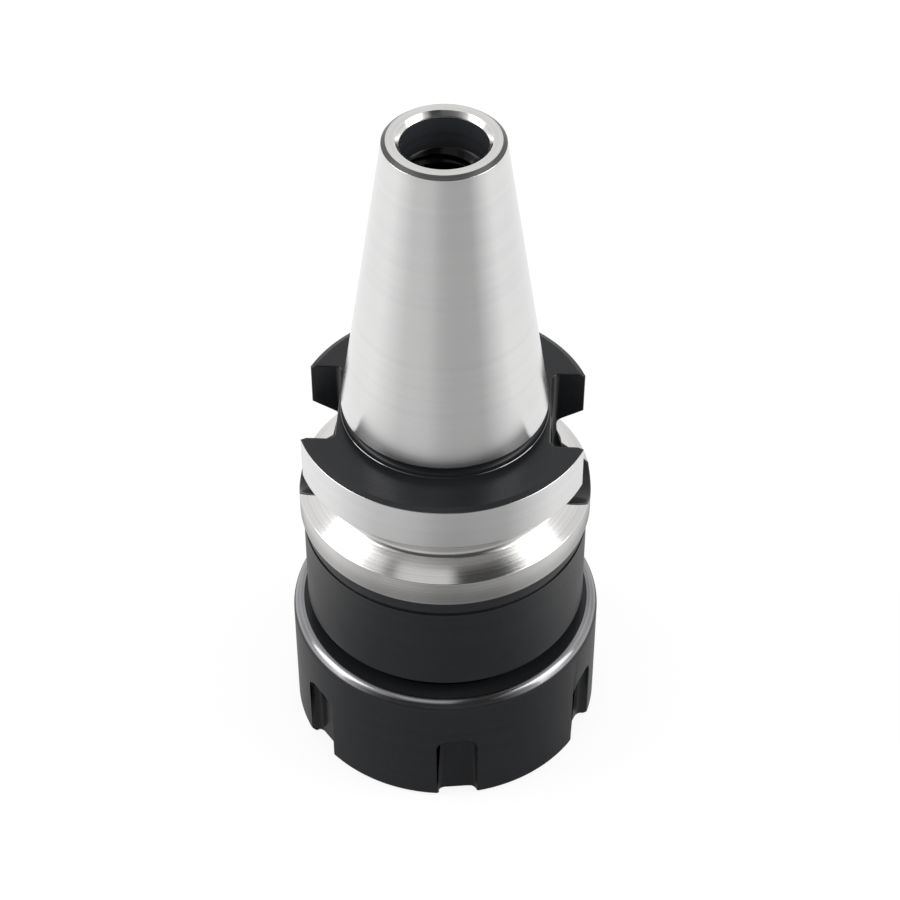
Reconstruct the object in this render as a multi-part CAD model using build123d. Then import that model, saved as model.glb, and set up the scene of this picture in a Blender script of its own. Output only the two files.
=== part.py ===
from build123d import *
from math import radians, tan
import os

# Collet chuck holder: a taper shank holder turned in one piece, a slotted clamping nut and a slit spring collet.
# Millimetres. The origin is the centre of the nut's front face, and +Z runs up through the nut to the shank.
# The drive slots of the flange face +X and -X. The collet is drawn in and closed.

# Taper shank
gauge_height = 66.0
gauge_d = 31.75
taper_share = 7 / 24
taper_len = 48.4
shank_edge = 0.6
shank_edge_len = 0.5

# Drawbar hole in the top of the shank, with the thread left as its core hole
pilot_d = 12.5
pilot_depth = 6.0
pilot_edge = 0.5
pilot_edge_len = 0.9
drawbar_core_d = 10.2
drawbar_lead = 1.2
drawbar_depth = 34.0
passage_d = 8.0
drill_point_angle = 118.0

# Flange, its neck and its gripper groove
neck_len = 2.0
neck_d = 30.0
neck_edge = 0.8
flange_d = 46.0
flange_len = 20.0
flange_edge = 0.9
flange_edge_len = 0.4
groove_drop = 13.6
groove_width = 8.0
groove_depth = 4.0
groove_angle = 60.0

# Drive slots, one on each side of the flange
drive_width = 16.1
drive_floor = 16.3
drive_centre_drop = 10.8

# Body under the flange
skirt_len = 2.6
skirt_draft = 0.6
line_width = 0.5
line_depth = 0.4
body_d = 45.0
body_edge = 0.4
shoulder_gap = 2.4

# Nose, with its fine thread left as a cylinder at the pitch diameter
nose_d = 39.0
nose_edge = 0.8
relief_d = 37.4
relief_len = 2.4

# Socket for the collet, and the chamber behind it
socket_mouth_d = 32.0
socket_angle = 8.0
socket_len = 35.4
chamber_d = 21.0
chamber_len = 7.0

# Collet
grip_d = 12.0
grip_edge = 0.5
collet_len = 40.0
collet_recess = 0.3
collar_d = 31.2
collar_len = 4.1
collar_cone_len = 3.4
front_cone_angle = 30.0
catch_groove_d = 28.0
catch_groove_len = 3.2
slits_each_end = 8
slit_width = 0.8
back_web = 6.0
front_web = 10.0

# Clamping nut
nut_wall = 5.44
nut_len = 22.5
crown_width = 1.0
crown_len = 1.4
toe_edge = 0.6
nut_bore_edge = 0.9
thread_runout_d = 40.6
thread_runout_len = 2.3
lip_d = 30.4
lip_len = 1.6
lip_offset = 0.7
spanner_slots = 6
spanner_turn = 37.55
spanner_width = 6.4
spanner_len = 13.8
spanner_depth = 1.8
spanner_corner = 2.2

# Clearances
seat_gap = 0.05
cone_gap = 0.06
thread_gap = 0.06
collar_room = 0.4
lip_play = 0.3
overrun = 3.0

# Sizes and heights that follow from the ones above
nut_bore_d = nose_d + 2 * thread_gap
nut_d = nut_bore_d + 2 * nut_wall
groove_floor_half = groove_width / 2 - groove_depth * tan(radians(groove_angle / 2))
shank_top = gauge_height + taper_len
flange_top = gauge_height - neck_len
flange_bottom = flange_top - flange_len
groove_height = gauge_height - groove_drop
skirt_bottom = flange_bottom - skirt_len
body_top = skirt_bottom - line_width
shoulder = nut_len + shoulder_gap
nose_face = collet_recess + collar_len + catch_groove_len
socket_top = nose_face + socket_len
chamber_top = socket_top + chamber_len
collar_top = collet_recess + collar_len
lip_bottom = collar_top + lip_play
lip_top = lip_bottom + lip_len
collet_back = collet_recess + collet_len


def turned(points):
    """A solid turned about Z from the closed outline through points given as radius and height."""
    return revolve(Plane.XZ * make_face(Polyline(*points, close=True)), Axis.Z)


def drill_point_len(wide_d, narrow_d):
    """Height of the cone that a drill leaves between two diameters."""
    return (wide_d - narrow_d) / 2 / tan(radians(drill_point_angle / 2))


def socket_radius(height):
    """Radius of the collet socket at a height."""
    return socket_mouth_d / 2 - (height - nose_face) * tan(radians(socket_angle))


def front_cone_radius(height):
    """Radius of the collet's front cone at a height, carried on past its ends."""
    cone_top = collet_recess + collar_cone_len
    return collar_d / 2 - (cone_top - height) * tan(radians(front_cone_angle))


def holder_outside():
    """Outside of the holder, from the nose face up to the end of the shank."""
    groove_half = groove_width / 2
    edge_height = shank_top - shank_edge_len
    edge_d = gauge_d - (edge_height - gauge_height) * taper_share
    relief_bottom = shoulder - relief_len
    return [
        (nose_d / 2 - nose_edge, nose_face),
        (nose_d / 2, nose_face + nose_edge),
        (nose_d / 2, relief_bottom),
        (relief_d / 2, relief_bottom),
        (relief_d / 2, shoulder),
        (body_d / 2 - body_edge, shoulder),
        (body_d / 2, shoulder + body_edge),
        (body_d / 2, body_top),
        (body_d / 2 - line_depth, body_top),
        (body_d / 2 - line_depth, skirt_bottom),
        (flange_d / 2 - skirt_draft, skirt_bottom),
        (flange_d / 2, flange_bottom),
        (flange_d / 2, groove_height - groove_half),
        (flange_d / 2 - groove_depth, groove_height - groove_floor_half),
        (flange_d / 2 - groove_depth, groove_height + groove_floor_half),
        (flange_d / 2, groove_height + groove_half),
        (flange_d / 2, flange_top - flange_edge_len),
        (flange_d / 2 - flange_edge, flange_top),
        (neck_d / 2 + neck_edge, flange_top),
        (neck_d / 2, flange_top + neck_edge),
        (neck_d / 2, gauge_height - (gauge_d - neck_d) / 2),
        (gauge_d / 2, gauge_height),
        (edge_d / 2, edge_height),
        (edge_d / 2 - shank_edge, shank_top),
    ]


def holder_inside():
    """Inside of the holder, from the end of the shank down to the nose face."""
    core_bottom = shank_top - drawbar_depth
    return [
        (pilot_d / 2 + pilot_edge, shank_top),
        (pilot_d / 2, shank_top - pilot_edge_len),
        (pilot_d / 2, shank_top - pilot_depth),
        (drawbar_core_d / 2, shank_top - pilot_depth - drawbar_lead),
        (drawbar_core_d / 2, core_bottom),
        (passage_d / 2, core_bottom - drill_point_len(drawbar_core_d, passage_d)),
        (passage_d / 2, chamber_top + drill_point_len(chamber_d, passage_d)),
        (chamber_d / 2, chamber_top),
        (chamber_d / 2, socket_top),
        (socket_radius(socket_top), socket_top),
        (socket_mouth_d / 2, nose_face),
    ]


def drive_slot():
    """The cutter of the drive slot on +X: a round lower end, open at the top of the flange."""
    centre = gauge_height - drive_centre_drop
    slot_top = flange_top + overrun
    upright = Pos(0, (centre + slot_top) / 2) * Rectangle(drive_width, slot_top - centre)
    round_end = Pos(0, centre) * Circle(drive_width / 2)
    depth = flange_d / 2 - drive_floor + overrun
    return Pos(drive_floor, 0, 0) * extrude(Plane.YZ * (upright + round_end), depth)


def holder_body():
    holder = turned(holder_outside() + holder_inside())
    for place in PolarLocations(0, 2):
        holder -= place * drive_slot()
    return holder


def spanner_slot():
    """The cutter of one spanner slot on +X, open at the nut's front face."""
    length = spanner_len + overrun
    profile = Pos(0, spanner_len - length / 2) * Rectangle(spanner_width, length)
    profile = fillet(profile.vertices().group_by(Axis.Y)[-1], spanner_corner)
    cutter = extrude(Plane.YZ * profile, spanner_depth + overrun)
    return Pos(nut_d / 2 - spanner_depth, 0, 0) * cutter


def clamping_nut():
    """The nut, with the off-centre lip that snaps into the collet's catch groove and pulls it out."""
    room_r = collar_d / 2 + collar_room
    mouth_r = front_cone_radius(0) + cone_gap
    cone_top = (room_r - mouth_r) / tan(radians(front_cone_angle))
    web_r = lip_d / 2 - lip_offset - overrun
    bore_r = nut_bore_d / 2
    runout_top = lip_top + thread_runout_len
    nut = turned([
        (mouth_r, 0),
        (nut_d / 2 - toe_edge, 0),
        (nut_d / 2, toe_edge),
        (nut_d / 2, nut_len - crown_len),
        (nut_d / 2 - crown_width, nut_len),
        (bore_r + nut_bore_edge, nut_len),
        (bore_r, nut_len - nut_bore_edge),
        (bore_r, runout_top),
        (thread_runout_d / 2, runout_top),
        (thread_runout_d / 2, lip_top),
        (web_r, lip_top),
        (web_r, lip_bottom),
        (room_r, lip_bottom),
        (room_r, cone_top),
    ])
    nut -= Pos(lip_offset, 0, (lip_bottom + lip_top) / 2) * Cylinder(lip_d / 2, lip_len + lip_play)
    for place in PolarLocations(0, spanner_slots, start_angle=spanner_turn):
        nut -= place * spanner_slot()
    return nut


def slit(bottom, top):
    """The cutter of one slit on +X, from the bore out through the collet."""
    reach = socket_mouth_d / 2 + overrun
    return Pos(reach / 2, 0, (bottom + top) / 2) * Box(reach, slit_width, top - bottom)


def collet():
    """The collet, closed on its seat in the socket and slit from both ends by turns."""
    grip_r = grip_d / 2
    back_r = socket_radius(collet_back) - seat_gap
    blank = turned([
        (grip_r + grip_edge, collet_recess),
        (front_cone_radius(collet_recess), collet_recess),
        (collar_d / 2, collet_recess + collar_cone_len),
        (collar_d / 2, collar_top),
        (catch_groove_d / 2, collar_top),
        (catch_groove_d / 2, nose_face),
        (socket_mouth_d / 2 - seat_gap, nose_face),
        (back_r, collet_back),
        (grip_r + grip_edge, collet_back),
        (grip_r, collet_back - grip_edge),
        (grip_r, collet_recess + grip_edge),
    ])
    front_slit = slit(collet_recess - overrun, collet_back - back_web)
    back_slit = slit(collet_recess + front_web, collet_back + overrun)
    half_step = 180 / slits_each_end
    for place in PolarLocations(0, slits_each_end):
        blank -= place * front_slit
        blank -= place * Rot(0, 0, half_step) * back_slit
    return blank


os.makedirs("parts", exist_ok=True)
export_step(holder_body(), "parts/holder_body.step")
export_step(clamping_nut(), "parts/clamping_nut.step")
export_step(collet(), "parts/collet.step")
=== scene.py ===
from collections import namedtuple
from math import ceil, floor, pi, radians, sin, cos, tan

import bmesh
import bpy
from mathutils import Color, Matrix, Vector


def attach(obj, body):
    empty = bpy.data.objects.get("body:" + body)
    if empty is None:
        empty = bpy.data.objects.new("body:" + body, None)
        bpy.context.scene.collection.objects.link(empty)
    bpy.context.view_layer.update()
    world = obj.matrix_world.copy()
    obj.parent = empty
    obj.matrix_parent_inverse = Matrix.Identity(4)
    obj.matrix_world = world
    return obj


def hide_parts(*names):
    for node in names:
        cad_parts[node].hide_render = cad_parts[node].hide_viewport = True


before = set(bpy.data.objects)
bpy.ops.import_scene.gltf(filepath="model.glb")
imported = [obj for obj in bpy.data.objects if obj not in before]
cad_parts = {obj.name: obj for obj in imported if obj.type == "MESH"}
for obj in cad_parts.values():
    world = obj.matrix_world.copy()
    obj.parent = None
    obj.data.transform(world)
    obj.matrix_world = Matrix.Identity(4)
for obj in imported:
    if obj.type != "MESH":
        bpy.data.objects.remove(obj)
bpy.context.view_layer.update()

# Holder body. One steel piece, turned, hardened and blackened. Then the taper, the flange's rim and its groove are
# ground or turned bright again, so the black is left on the body, in the drive slots and on top of the flange.
# Drawn as one outline of corners swept round Z by Geometry Nodes; a thread is the same sweep with a lead.

MM = 0.001
STEPS_ROUND = 180
ARC_STEPS = 5
WELD = 0.000002
SHARP_ANGLE = radians(32)
THREAD_FLANK = tan(radians(30))

Thread = namedtuple("Thread", "pitch outer_r inner_r pitch_r fade finish")


def colour(code):
    """The linear colour of an sRGB hex value, with full alpha."""
    channels = [int(code[i:i + 2], 16) / 255 for i in (1, 3, 5)]
    return (*Color(channels).from_srgb_to_scene_linear(), 1.0)


def add(tree, kind, sockets=None, **settings):
    """Add a node, set its properties, and set each socket to a value or link it to another node's output."""
    node = tree.nodes.new(kind)
    for name, value in settings.items():
        setattr(node, name, value)
    for name, value in (sockets or {}).items():
        if isinstance(value, bpy.types.NodeSocket):
            tree.links.new(value, node.inputs[name])
        else:
            node.inputs[name].default_value = value
    return node


def machined_steel(name, dark, light, metallic, ior, roughness, spacing, mark_depth, stretch):
    """Steel with the fine rings that turning or grinding round Z leaves: tones, gloss and a shallow relief."""
    material = bpy.data.materials.new(name)
    material.use_nodes = True
    tree = material.node_tree
    tree.nodes.clear()
    place = add(tree, "ShaderNodeTexCoord").outputs["Object"]
    across = add(tree, "ShaderNodeSeparateXYZ", {0: place})
    flat = add(tree, "ShaderNodeCombineXYZ", {0: across.outputs[0], 1: across.outputs[1]})
    radius = add(tree, "ShaderNodeVectorMath", {0: flat.outputs[0]}, operation="LENGTH")
    outline = add(tree, "ShaderNodeCombineXYZ", {0: radius.outputs["Value"], 1: across.outputs[2]})
    # Rings are noise over radius and height alone, so they run round the axis on every face of the outline
    fine = add(tree, "ShaderNodeTexNoise", {"Vector": outline.outputs[0], "Scale": 1 / (spacing * MM), "Detail": 2.0},
               noise_dimensions="2D").outputs["Fac"]
    broad = add(tree, "ShaderNodeTexNoise", {"Vector": outline.outputs[0], "Scale": 1 / (spacing * 7 * MM)},
                noise_dimensions="2D").outputs["Fac"]
    # Handling and etching leave cloudy patches about 14 mm across
    cloud = add(tree, "ShaderNodeTexNoise", {"Vector": place, "Scale": 1 / (14 * MM), "Detail": 3.0}).outputs["Fac"]
    rings = add(tree, "ShaderNodeMath", {0: broad, 1: fine}, operation="ADD")
    marks = add(tree, "ShaderNodeMath", {0: rings.outputs[0], 1: cloud}, operation="ADD")
    tone = add(tree, "ShaderNodeMapRange", {"Value": marks.outputs[0], "From Min": 1.1, "From Max": 1.9})
    base = add(tree, "ShaderNodeMix", {0: tone.outputs[0], 6: colour(dark), 7: colour(light)}, data_type="RGBA")
    gloss = add(tree, "ShaderNodeMapRange", {"Value": marks.outputs[0], "From Min": 1.1, "From Max": 1.9,
                                             "To Min": roughness[0], "To Max": roughness[1]})
    relief = add(tree, "ShaderNodeBump", {"Height": rings.outputs[0], "Distance": mark_depth * MM, "Strength": 1.0})
    tangent = add(tree, "ShaderNodeTangent", direction_type="RADIAL", axis="Z")
    shader = add(tree, "ShaderNodeBsdfPrincipled", {
        "Base Color": base.outputs[2], "Metallic": metallic, "IOR": ior, "Roughness": gloss.outputs[0],
        "Normal": relief.outputs[0], "Tangent": tangent.outputs[0],
        "Anisotropic": stretch, "Anisotropic Rotation": 0.25})
    add(tree, "ShaderNodeOutputMaterial", {"Surface": shader.outputs[0]})
    return material


ground_steel = machined_steel("hardened steel, fine ground", "#D5D5D5", "#DBDBDA", 1.0, 1.5, (0.20, 0.24), 0.30, 0.0001, 0.6)
turned_steel = machined_steel("hardened steel, finish turned", "#C6C5C4", "#DFDEDC", 1.0, 1.5, (0.14, 0.22), 0.30, 0.0022, 0.7)
# Worn bright steel on the nut's crown; a thin strip of it at the holder's neck is a painted highlight
worn_oxide_and_highlight_strip = machined_steel("black oxide worn to bright steel", "#66666A", "#98989A", 1.0, 1.5, (0.12, 0.20), 0.30, 0.0022, 0.7)
thin_oxide = machined_steel("black oxide rubbed thin", "#3C3C3B", "#474746", 0.0, 1.34, (0.26, 0.31), 0.30, 0.0002, 0.0)
black_oxide = machined_steel("steel, turned, black oxide", "#1A1B1D", "#1E1F21", 0.0, 1.34, (0.27, 0.30), 0.40, 0.0001, 0.0)
milled_oxide = machined_steel("steel, milled, black oxide", "#141517", "#191A1C", 0.0, 1.40, (0.20, 0.24), 1.60, 0.0002, 0.0)
bored_oxide = machined_steel("steel, bored, black oxide", "#2E2F32", "#38393D", 0.0, 1.45, (0.18, 0.24), 0.30, 0.0005, 0.0)
tapped_oxide = machined_steel("steel, tapped, black oxide with oil", "#060607", "#0A0A0B", 0.0, 1.25, (0.12, 0.18), 0.30, 0.0005, 0.0)


def sweep_tree():
    """Geometry Nodes that sweep profile points (x the radius, y a shift along X, z the height) once round Z."""
    tree = bpy.data.node_groups.new("outline swept round the axis", "GeometryNodeTree")
    for name, kind in (("Profile", "Geometry"), ("Steps round", "Int"), ("Lead", "Float"), ("Bottom", "Float"),
                       ("Top", "Float"), ("Bottom radius", "Float"), ("Top radius", "Float"), ("Fade", "Float"),
                       ("Finish", "Material")):
        tree.interface.new_socket(name, in_out="INPUT", socket_type=f"NodeSocket{kind}")
    tree.interface.new_socket("Surface", in_out="OUTPUT", socket_type="NodeSocketGeometry")
    given = add(tree, "NodeGroupInput").outputs
    rows = add(tree, "GeometryNodeAttributeDomainSize", {0: given["Profile"]}, component="MESH").outputs["Point Count"]
    columns = add(tree, "ShaderNodeMath", {0: given["Steps round"], 1: 1.0}, operation="ADD")
    grid = add(tree, "GeometryNodeMeshGrid", {"Size X": 1.0, "Size Y": 1.0, "Vertices X": rows,
                                              "Vertices Y": columns.outputs[0]})
    place = add(tree, "GeometryNodeInputPosition").outputs[0]
    share = add(tree, "ShaderNodeVectorMath", {0: place, 1: (0.5, 0.5, 0)}, operation="ADD")
    share = add(tree, "ShaderNodeSeparateXYZ", {0: share.outputs[0]}).outputs
    last = add(tree, "ShaderNodeMath", {0: rows, 1: 1.0}, operation="SUBTRACT")
    row = add(tree, "ShaderNodeMath", {0: share[0], 1: last.outputs[0]}, operation="MULTIPLY")
    row = add(tree, "FunctionNodeFloatToInt", {0: row.outputs[0]}, rounding_mode="ROUND")
    point = add(tree, "GeometryNodeSampleIndex", {"Geometry": given["Profile"], "Value": place, "Index": row.outputs[0]},
                data_type="FLOAT_VECTOR")
    point = add(tree, "ShaderNodeSeparateXYZ", {0: point.outputs[0]}).outputs
    height = add(tree, "ShaderNodeMath", {0: given["Lead"], 1: share[1], 2: point[2]}, operation="MULTIPLY_ADD")
    height = add(tree, "ShaderNodeClamp", {"Value": height.outputs[0], "Min": given["Bottom"], "Max": given["Top"]}).outputs[0]
    # A thread fades into the plain circle at each of its ends, which the neighbouring run welds to
    above = add(tree, "ShaderNodeMath", {0: height, 1: given["Bottom"]}, operation="SUBTRACT")
    below = add(tree, "ShaderNodeMath", {0: given["Top"], 1: height}, operation="SUBTRACT")
    room = add(tree, "ShaderNodeMath", {0: above.outputs[0], 1: below.outputs[0]}, operation="MINIMUM")
    room = add(tree, "ShaderNodeMath", {0: room.outputs[0], 1: given["Fade"]}, operation="DIVIDE", use_clamp=True)
    plain = add(tree, "ShaderNodeMapRange", {"Value": height, "From Min": given["Bottom"], "From Max": given["Top"],
                                             "To Min": given["Bottom radius"], "To Max": given["Top radius"]}).outputs[0]
    proud = add(tree, "ShaderNodeMath", {0: point[0], 1: plain}, operation="SUBTRACT")
    radius = add(tree, "ShaderNodeMath", {0: proud.outputs[0], 1: room.outputs[0], 2: plain}, operation="MULTIPLY_ADD")
    angle = add(tree, "ShaderNodeMath", {0: share[1], 1: 2 * pi}, operation="MULTIPLY")
    ahead = add(tree, "ShaderNodeMath", {0: angle.outputs[0]}, operation="COSINE")
    aside = add(tree, "ShaderNodeMath", {0: angle.outputs[0]}, operation="SINE")
    x = add(tree, "ShaderNodeMath", {0: radius.outputs[0], 1: ahead.outputs[0], 2: point[1]}, operation="MULTIPLY_ADD")
    y = add(tree, "ShaderNodeMath", {0: radius.outputs[0], 1: aside.outputs[0]}, operation="MULTIPLY")
    swept = add(tree, "ShaderNodeCombineXYZ", {0: x.outputs[0], 1: y.outputs[0], 2: height})
    surface = add(tree, "GeometryNodeSetPosition", {"Geometry": grid.outputs["Mesh"], "Position": swept.outputs[0]})
    surface = add(tree, "GeometryNodeMergeByDistance", {"Geometry": surface.outputs[0], "Distance": WELD})
    surface = add(tree, "GeometryNodeRealizeInstances", {"Geometry": surface.outputs[0]})
    surface = add(tree, "GeometryNodeSetMaterial", {"Geometry": surface.outputs[0], "Material": given["Finish"]})
    add(tree, "NodeGroupOutput", {0: surface.outputs[0]})
    return tree


def new_object(name, points, faces):
    """A mesh object in the scene, from points in metres."""
    mesh = bpy.data.meshes.new(name)
    mesh.from_pydata(points, [], faces)
    piece = bpy.data.objects.new(name, mesh)
    bpy.context.collection.objects.link(piece)
    return piece


def bake(piece):
    """Make what the object's modifiers give its plain mesh, and remove them."""
    shown = piece.evaluated_get(bpy.context.evaluated_depsgraph_get())
    mesh = bpy.data.meshes.new_from_object(shown)
    piece.modifiers.clear()
    piece.data = mesh


def run_nodes(piece, tree, inputs):
    """Run a node tree on an object with these inputs, and keep the result as its plain mesh."""
    modifier = piece.modifiers.new(tree.name, "NODES")
    modifier.node_group = tree
    for item in tree.interface.items_tree:
        if item.name in inputs:
            modifier[item.identifier] = inputs[item.name]
    bake(piece)


sweep_nodes = sweep_tree()


def rounded(corners):
    """The closed outline with its corners turned to their radii, as (radius, shift, height, finish of the next run)."""
    outline = []
    for i, (radius, height, rounding, finish, *shift) in enumerate(corners):
        shift = shift[0] if shift else 0
        here = Vector((radius, height))
        if not rounding:
            outline.append((radius, shift, height, finish))
            continue
        before = (Vector(corners[i - 1][:2]) - here).normalized()
        after = (Vector(corners[(i + 1) % len(corners)][:2]) - here).normalized()
        half = before.angle(after) / 2
        centre = here + (before + after).normalized() * rounding / sin(half)
        start = (here + before * rounding / tan(half) - centre).normalized()
        end = (here + after * rounding / tan(half) - centre).normalized()
        for step in range(ARC_STEPS + 1):
            point = centre + start.slerp(end, step / ARC_STEPS) * rounding
            outline.append((point.x, shift, point.y, finish if step == ARC_STEPS else corners[i - 1][3]))
    return outline


def thread_rows(thread, low, high):
    """Radius and height of a thread's edges along one side, from a turn below its run to a turn above it."""
    crest = thread.pitch / 4 - (thread.outer_r - thread.pitch_r) * THREAD_FLANK
    root = thread.pitch / 4 - (thread.pitch_r - thread.inner_r) * THREAD_FLANK
    middle = thread.pitch / 2
    edges = [(thread.outer_r, -crest), (thread.outer_r, crest),
             (thread.inner_r, middle - root), (thread.inner_r, middle + root)]
    turns = range(floor(low / thread.pitch) - 1, ceil(high / thread.pitch) + 1)
    return [(radius, 0, turn * thread.pitch + rise) for turn in turns for radius, rise in edges]


def turned(name, corners):
    """A closed piece turned round Z from its outline's corners, each with its radius, height, rounding and finish."""
    outline = rounded(corners)
    shell = bmesh.new()
    materials = []
    runs = []
    for here, after in zip(outline, outline[1:] + outline[:1]):
        if not isinstance(here[3], Thread) and runs and runs[-1][0] == here[3]:
            runs[-1][1].append(after[:3])
        else:
            runs.append((here[3], [here[:3], after[:3]]))
    for finish, points in runs:
        inputs = {"Steps round": STEPS_ROUND, "Lead": 0.0, "Bottom": -1.0, "Top": 1.0, "Fade": WELD, "Finish": finish}
        if isinstance(finish, Thread):
            (bottom_r, _, low), (top_r, _, high) = sorted(points, key=lambda point: point[2])
            points = thread_rows(finish, low, high)
            inputs.update({"Lead": finish.pitch * MM, "Bottom": low * MM, "Top": high * MM, "Fade": finish.fade * MM,
                           "Bottom radius": bottom_r * MM, "Top radius": top_r * MM, "Finish": finish.finish})
            finish = finish.finish
        if finish not in materials:
            materials.append(finish)
        strip = new_object(name, [[size * MM for size in point] for point in points], [])
        run_nodes(strip, sweep_nodes, inputs)
        strip.data.polygons.foreach_set("material_index", [materials.index(finish)] * len(strip.data.polygons))
        shell.from_mesh(strip.data)
        bpy.data.objects.remove(strip)
    bmesh.ops.remove_doubles(shell, verts=shell.verts, dist=WELD)
    bmesh.ops.dissolve_degenerate(shell, edges=shell.edges, dist=WELD / 4)
    bmesh.ops.recalc_face_normals(shell, faces=shell.faces)
    piece = new_object(name, [], [])
    shell.to_mesh(piece.data)
    shell.free()
    for material in materials:
        piece.data.materials.append(material)
    return piece


def skin(name, rows, finish):
    """A closed solid through rows of as many points each, in millimetres, with its first and last row filled."""
    count = len(rows[0])
    points = [[size * MM for size in point] for row in rows for point in row]
    faces = [range(count), range(count * (len(rows) - 1), count * len(rows))]
    for row in range(len(rows) - 1):
        for i in range(count):
            faces.append((row * count + i, row * count + (i + 1) % count,
                          (row + 1) * count + (i + 1) % count, (row + 1) * count + i))
    piece = new_object(name, points, [tuple(face) for face in faces])
    solid = bmesh.new()
    solid.from_mesh(piece.data)
    bmesh.ops.recalc_face_normals(solid, faces=solid.faces)
    solid.to_mesh(piece.data)
    solid.free()
    piece.data.materials.append(finish)
    return piece


def slot_cutter(name, floor_x, outer_x, half_width, corner, closed_end, open_end, floor_round, finish):
    """The cutter of a milled slot on +X: round corners at its closed end and a round edge along its floor."""
    side = 1 if closed_end > open_end else -1
    rows = []
    for step in range(ARC_STEPS + 2):
        turn = min(step / ARC_STEPS, 1) * pi / 2
        inset = floor_round * (1 - sin(turn))
        x = floor_x + floor_round * (1 - cos(turn)) if step <= ARC_STEPS else outer_x
        reach, bend = half_width - inset, corner - inset
        centre = closed_end - side * corner
        row = [(x, -reach, open_end)]
        for way in (-1, 1):
            for arc in range(ARC_STEPS * 3 + 1):
                swing = (arc if way < 0 else ARC_STEPS * 3 - arc) / (ARC_STEPS * 3) * pi / 2
                row.append((x, way * (reach - bend + bend * cos(swing)), centre + side * bend * sin(swing)))
        row.append((x, reach, open_end))
        if half_width == corner:
            row.pop(ARC_STEPS * 3 + 1)
        rows.append(row)
    return skin(name, rows, finish)


def ring_tree():
    """Geometry Nodes that set copies of a shape round Z at even turns."""
    tree = bpy.data.node_groups.new("copies round the axis", "GeometryNodeTree")
    for name, kind in (("Shape", "Geometry"), ("Count", "Int"), ("First turn", "Float"), ("Finish", "Material")):
        tree.interface.new_socket(name, in_out="INPUT", socket_type=f"NodeSocket{kind}")
    tree.interface.new_socket("Copies", in_out="OUTPUT", socket_type="NodeSocketGeometry")
    given = add(tree, "NodeGroupInput").outputs
    points = add(tree, "GeometryNodePoints", {"Count": given["Count"]})
    index = add(tree, "GeometryNodeInputIndex").outputs[0]
    step = add(tree, "ShaderNodeMath", {0: 2 * pi, 1: given["Count"]}, operation="DIVIDE")
    turn = add(tree, "ShaderNodeMath", {0: index, 1: step.outputs[0], 2: given["First turn"]}, operation="MULTIPLY_ADD")
    turn = add(tree, "ShaderNodeCombineXYZ", {2: turn.outputs[0]})
    copies = add(tree, "GeometryNodeInstanceOnPoints", {"Points": points.outputs[0], "Instance": given["Shape"],
                                                        "Rotation": turn.outputs[0]})
    copies = add(tree, "GeometryNodeRealizeInstances", {"Geometry": copies.outputs[0]})
    copies = add(tree, "GeometryNodeSetMaterial", {"Geometry": copies.outputs[0], "Material": given["Finish"]})
    add(tree, "NodeGroupOutput", {0: copies.outputs[0]})
    return tree


ring_nodes = ring_tree()


def rims(solid, milled):
    """The edges of a cut: those between a milled face and another."""
    return [line for line in solid.edges if len(line.link_faces) == 2
            and [face.material_index for face in line.link_faces].count(milled) == 1]


def round_rims(piece, milled, size):
    """Round the edges of a cut, once the slivers along them that are shorter than the rounding are merged."""
    solid = bmesh.new()
    solid.from_mesh(piece.data)
    on_rim = {vert for line in rims(solid, milled) for vert in line.verts}
    bmesh.ops.remove_doubles(solid, verts=list(on_rim), dist=size)
    on_rim = {vert for line in rims(solid, milled) for vert in line.verts}
    merged = {}
    for vert in on_rim:
        for line in vert.link_edges:
            other = line.other_vert(vert)
            if other not in on_rim and line.calc_length() < size:
                merged[other] = vert
    bmesh.ops.weld_verts(solid, targetmap=merged)
    bmesh.ops.dissolve_degenerate(solid, edges=solid.edges, dist=WELD)
    lowest = min(vert.co.z for vert in solid.verts)
    bmesh.ops.bevel(solid, geom=rims(solid, milled), offset=size, segments=3, profile=0.5, affect="EDGES",
                    clamp_overlap=False, material=milled)
    for vert in solid.verts:
        vert.co.z = max(vert.co.z, lowest)
    solid.to_mesh(piece.data)
    solid.free()


def cut_ring(piece, cutter, count, first_turn, edge=0):
    """Cut copies of a cutter out of a piece, at even turns round Z, and round the edges of the cuts."""
    run_nodes(cutter, ring_nodes, {"Count": count, "First turn": first_turn, "Finish": cutter.data.materials[0]})
    modifier = piece.modifiers.new("cut", "BOOLEAN")
    modifier.operation = "DIFFERENCE"
    modifier.solver = "EXACT"
    modifier.material_mode = "TRANSFER"
    modifier.object = cutter
    bake(piece)
    if edge:
        round_rims(piece, list(piece.data.materials).index(cutter.data.materials[0]), edge * MM)
    bpy.data.objects.remove(cutter)


def finish_piece(piece, body, node):
    """Shade the piece smooth between its real edges, tie it to its body, and hide the CAD solid it stands for."""
    piece.data.shade_smooth()
    piece.data.set_sharp_from_angle(angle=SHARP_ANGLE)
    modifier = piece.modifiers.new("even normals", "WEIGHTED_NORMAL")
    modifier.keep_sharp = True
    bake(piece)
    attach(piece, body)
    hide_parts(node)


drawbar_thread = Thread(1.75, 6.0, 5.1, 5.43, 0.5, tapped_oxide)
nose_thread = Thread(1.5, 19.93, 19.08, 19.5, 0.9, black_oxide)

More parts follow.
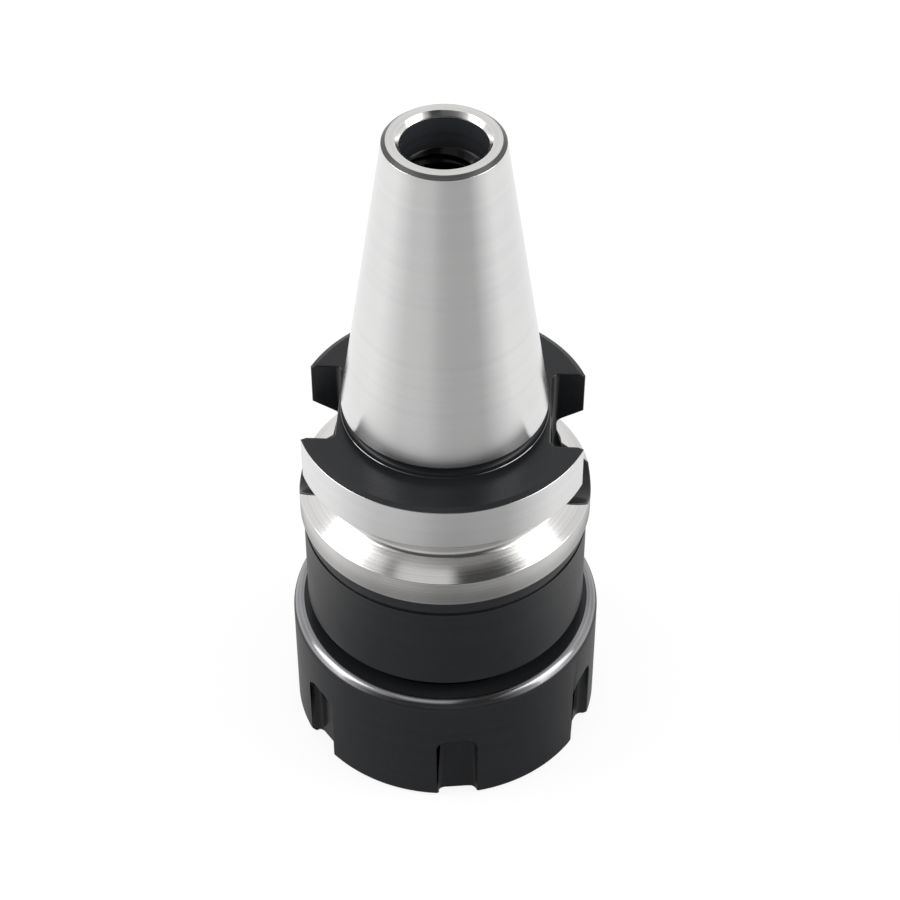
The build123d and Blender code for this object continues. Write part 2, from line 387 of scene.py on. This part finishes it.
holder = turned("taper_holder", [
    (18.7, 7.6, 0, nose_thread),
    (18.7, 22.5, 0, black_oxide),
    (18.7, 24.9, 0.5, black_oxide),
    (22.1, 24.9, 0.12, black_oxide),
    (22.5, 25.3, 0.12, black_oxide),
    (22.5, 40.9, 0.06, black_oxide),
    (22.1, 40.9, 0.1, black_oxide),
    (22.1, 41.4, 0.1, black_oxide),
    (22.4, 41.4, 0.1, black_oxide),
    (23.0, 44.0, 0, turned_steel),
    (23.0, 48.4, 0.2, turned_steel),
    (19.0, 50.71, 1.2, turned_steel),
    (19.0, 54.09, 1.2, turned_steel),
    (23.0, 56.4, 0.2, ground_steel),
    (23.0, 63.6, 0.1, black_oxide),
    (22.1, 64.0, 0.1, black_oxide),
    # Painted highlight: a 0.1 mm strip of bright steel at the foot of the neck draws the bright line that light makes
    # along this edge
    (16.0, 64.0, 0, worn_oxide_and_highlight_strip),
    (15.93, 64.07, 0, black_oxide),
    (15.0, 64.07, 0.7, black_oxide),
    (15.0, 65.125, 0, black_oxide),
    (15.875, 66.0, 0.08, ground_steel),
    (8.89, 113.9, 0.1, thin_oxide),
    (8.29, 114.4, 0.1, turned_steel),
    (6.93, 114.4, 0.15, turned_steel),
    (6.25, 113.58, 0.5, bored_oxide),
    (6.25, 108.4, 0.1, tapped_oxide),
    (6.02, 108.2, 0, drawbar_thread),
    (5.1, 84.0, 0, black_oxide),
    (5.1, 80.4, 0, black_oxide),
    (4.0, 79.739, 0, black_oxide),
    (4.0, 53.906, 0, black_oxide),
    (10.5, 50.0, 0, black_oxide),
    (10.5, 43.0, 0, black_oxide),
    (11.025, 43.0, 0, ground_steel),
    (16.0, 7.6, 0.15, black_oxide),
])
drive_cutter = slot_cutter("drive slot", 16.3, 26.0, 8.05, 8.05, 47.15, 67.0, 1.2, milled_oxide)
cut_ring(holder, drive_cutter, 2, 0.0, 0.3)
finish_piece(holder, "holder", "holder_body")

# Collet. Spring steel, hardened and ground all over. It is slit from both ends by turns, so that it closes
# evenly over its whole length; the groove behind its collar is what the nut's lip snaps into.

collet = turned("spring_collet", [
    (6.5, 0.3, 0.1, ground_steel),
    (13.637, 0.3, 0.15, ground_steel),
    (15.6, 3.7, 0.1, ground_steel),
    (15.6, 4.4, 0.15, ground_steel),
    (14.0, 4.4, 0.3, ground_steel),
    (14.0, 7.6, 0.3, ground_steel),
    (15.95, 7.6, 0.15, ground_steel),
    (11.467, 39.5, 0.2, ground_steel),
    (10.554, 40.3, 0.15, ground_steel),
    (6.5, 40.3, 0.1, ground_steel),
    (6.0, 39.8, 0, ground_steel),
    (6.0, 0.8, 0, ground_steel),
])
SLITS_EACH_END = 8
for bottom, top, first in ((-3, 34.3, 0.0), (10.3, 43.3, pi / SLITS_EACH_END)):
    corners = [(-0.4, bottom), (0.4, bottom), (0.4, top), (-0.4, top)]
    slit = skin("slit", [[(x, y, z) for y, z in corners] for x in (3.0, 19.0)], ground_steel)
    cut_ring(collet, slit, SLITS_EACH_END, first)
finish_piece(collet, "collet", "collet")

# Clamping nut. Turned and milled steel, blackened, with its crown edge turned bright. Its thread draws it up the nose;
# the lip inside it is turned off centre, so the collet tilts in past it and is pulled out again as the nut unscrews.

nut_thread = Thread(1.5, 20.0, 19.19, 19.56, 0.9, black_oxide)

nut = turned("clamping_nut_dressed", [
    (13.524, 0, 0.15, black_oxide),
    (24.4, 0, 0.15, black_oxide),
    (25.0, 0.6, 0.15, black_oxide),
    (25.0, 21.1, 1.4, worn_oxide_and_highlight_strip),
    (24.0, 22.5, 1.4, black_oxide),
    (20.46, 22.5, 0.06, black_oxide),
    (20.3, 22.34, 0, nut_thread),
    (20.3, 8.6, 0, black_oxide),
    (20.3, 6.3, 0.3, black_oxide),
    (15.2, 6.3, 0.3, black_oxide, 0.7),
    (15.2, 4.7, 0.3, black_oxide, 0.7),
    (16.0, 4.7, 0, black_oxide),
    (16.0, 4.289, 0, black_oxide),
])
spanner_cutter = slot_cutter("spanner slot", 23.2, 29.0, 3.2, 2.2, 13.8, -3.0, 1.2, milled_oxide)
cut_ring(nut, spanner_cutter, 6, radians(37.55), 0.2)
finish_piece(nut, "nut", "clamping_nut")

# Floor, light and camera. A white sweep for a catalogue picture, with a soft box on each side and an unlit gap
# between them on the camera's side; these and the painted reflection on the floor make the dark bands down polished
# steel.
# The camera stands where the photographer's did.

FLOOR_HALF = 4.0
floor_plane = new_object("floor", [(-FLOOR_HALF, -FLOOR_HALF, 0), (FLOOR_HALF, -FLOOR_HALF, 0),
                                   (FLOOR_HALF, FLOOR_HALF, 0), (-FLOOR_HALF, FLOOR_HALF, 0)], [(0, 1, 2, 3)])
paper = bpy.data.materials.new("white paper sweep")
paper.use_nodes = True
tree = paper.node_tree
tree.nodes.clear()
rays = add(tree, "ShaderNodeLightPath").outputs
lit = add(tree, "ShaderNodeBsdfDiffuse", {"Color": colour("#F4F4F4")})
white = add(tree, "ShaderNodeEmission", {"Color": colour("#FFFFFF"), "Strength": 1.0})
backdrop = add(tree, "ShaderNodeMixShader", {0: 0.85, 1: lit.outputs[0], 2: white.outputs[0]})
# Painted reflection: seen only in the steel, the paper glows in grey bands, darkest on the photographer's side, and is
# dimmed near the object as painted shade
spot = add(tree, "ShaderNodeTexCoord").outputs["Object"]
away = add(tree, "ShaderNodeVectorMath", {0: spot, 1: (1.35, 1.0, 0.0)}, operation="MULTIPLY")
away = add(tree, "ShaderNodeVectorMath", {0: away.outputs[0]}, operation="LENGTH").outputs["Value"]
spot = add(tree, "ShaderNodeSeparateXYZ", {0: spot}).outputs
bearing = add(tree, "ShaderNodeMath", {0: spot[1], 1: -1.0}, operation="MULTIPLY")
bearing = add(tree, "ShaderNodeMath", {0: spot[0], 1: bearing.outputs[0]}, operation="ARCTAN2")
bearing = add(tree, "ShaderNodeMapRange", {"Value": bearing.outputs[0], "From Min": -pi, "From Max": pi})
# Painted reflection: grey by bearing round the object, darker on the photographer's side
bands = add(tree, "ShaderNodeValToRGB", {0: bearing.outputs[0]})
for element in list(bands.color_ramp.elements)[1:]:
    bands.color_ramp.elements.remove(element)
bands.color_ramp.elements[0].color = colour("#FFFFFF")
for degrees, grey in ((-82, "#FFFFFF"), (-60, "#EAEAEA"), (-44, "#D9D9D9"), (-30, "#D9D9D9"), (-15, "#D4D4D4"),
                      (-2, "#C2C2C2"), (12, "#B9B9B9"), (44, "#B9B9B9"), (60, "#D9D9D9"), (82, "#FAFAFA")):
    bands.color_ramp.elements.new(0.5 + degrees / 360).color = colour(grey)
# Painted shade: the paper seen in the steel is dimmed to 0.42 within about 60 mm of the object, rising to 1.08 further
# out
painted_near_shade = add(tree, "ShaderNodeMapRange", {"Value": away, "From Min": 0.060, "From Max": 0.090, "To Min": 0.42, "To Max": 1.08})
painted_reflection = add(tree, "ShaderNodeEmission", {"Color": bands.outputs[0], "Strength": painted_near_shade.outputs[0]})
either = add(tree, "ShaderNodeMixShader", {0: rays["Is Camera Ray"], 1: lit.outputs[0], 2: backdrop.outputs[0]})
either = add(tree, "ShaderNodeMixShader", {0: rays["Is Glossy Ray"], 1: either.outputs[0], 2: painted_reflection.outputs[0]})
add(tree, "ShaderNodeOutputMaterial", {"Surface": either.outputs[0]})
floor_plane.data.materials.append(paper)

world = bpy.data.worlds.new("studio")
world.use_nodes = True
tree = world.node_tree
tree.nodes.clear()
rays = add(tree, "ShaderNodeLightPath").outputs
toward = add(tree, "ShaderNodeTexCoord").outputs["Generated"]
toward = add(tree, "ShaderNodeSeparateXYZ", {0: toward}).outputs
across = add(tree, "ShaderNodeMapRange", {"Value": toward[0], "From Min": -1.0})
gaps = add(tree, "ShaderNodeValToRGB", {0: across.outputs[0]})
for element in list(gaps.color_ramp.elements)[1:]:
    gaps.color_ramp.elements.remove(element)
for side, shade in ((-0.44, 0.0), (-0.39, 0.75), (-0.35, 0.75), (-0.31, 0.15), (0.04, 0.15), (0.12, 1.0), (0.45, 1.0),
                    (0.58, 0.0)):
    gaps.color_ramp.elements.new((side + 1) / 2).color = (shade, shade, shade, 1.0)
behind = add(tree, "ShaderNodeMapRange", {"Value": toward[1], "From Min": 0.25, "From Max": 0.0}, interpolation_type="SMOOTHSTEP")
gap = add(tree, "ShaderNodeMath", {0: gaps.outputs[0], 1: behind.outputs[0]}, operation="MULTIPLY")
person = add(tree, "ShaderNodeMapRange", {"Value": toward[1], "From Min": -0.35, "From Max": -0.75}, interpolation_type="SMOOTHSTEP")
dark = add(tree, "ShaderNodeMath", {0: gap.outputs[0], 1: person.outputs[0]}, operation="MAXIMUM")
dark = add(tree, "ShaderNodeMath", {0: dark.outputs[0], 1: rays["Is Glossy Ray"]}, operation="MULTIPLY")
white = add(tree, "ShaderNodeBackground", {"Color": colour("#FFFFFF"), "Strength": 1.0})
unlit = add(tree, "ShaderNodeBackground", {"Color": colour("#FFFFFF"), "Strength": 0.07})
either = add(tree, "ShaderNodeMixShader", {0: dark.outputs[0], 1: white.outputs[0], 2: unlit.outputs[0]})
add(tree, "ShaderNodeOutputWorld", {"Surface": either.outputs[0]})
bpy.context.scene.world = world


def soft_box(name, place, size, power):
    """A rectangular soft box that faces the middle of the object."""
    lamp = bpy.data.lights.new(name, "AREA")
    lamp.shape = "RECTANGLE"
    lamp.size, lamp.size_y = size
    lamp.energy = power
    box = bpy.data.objects.new(name, lamp)
    bpy.context.collection.objects.link(box)
    box.location = place
    box.rotation_euler = (Vector((0, 0, 0.06)) - Vector(place)).to_track_quat("-Z", "Y").to_euler()


soft_box("soft box left", (-0.75, -0.10, 0.55), (0.5, 0.7), 3.6)
soft_box("soft box right", (0.75, -0.10, 0.55), (0.5, 0.7), 3.6)

lens = bpy.data.cameras.new("camera")
lens.sensor_width = 36.0
lens.lens = 97.87
lens.shift_x = 5 / 900
camera = bpy.data.objects.new("camera", lens)
bpy.context.collection.objects.link(camera)
camera.matrix_world = (Matrix.Translation((0.01534, -0.27443, 0.31866)) @ Matrix.Rotation(radians(3.2), 4, "Z")
                       @ Matrix.Rotation(radians(46.14), 4, "X") @ Matrix.Rotation(radians(-0.17), 4, "Z"))
bpy.context.scene.camera = camera
bpy.context.scene.view_settings.view_transform = "Standard"
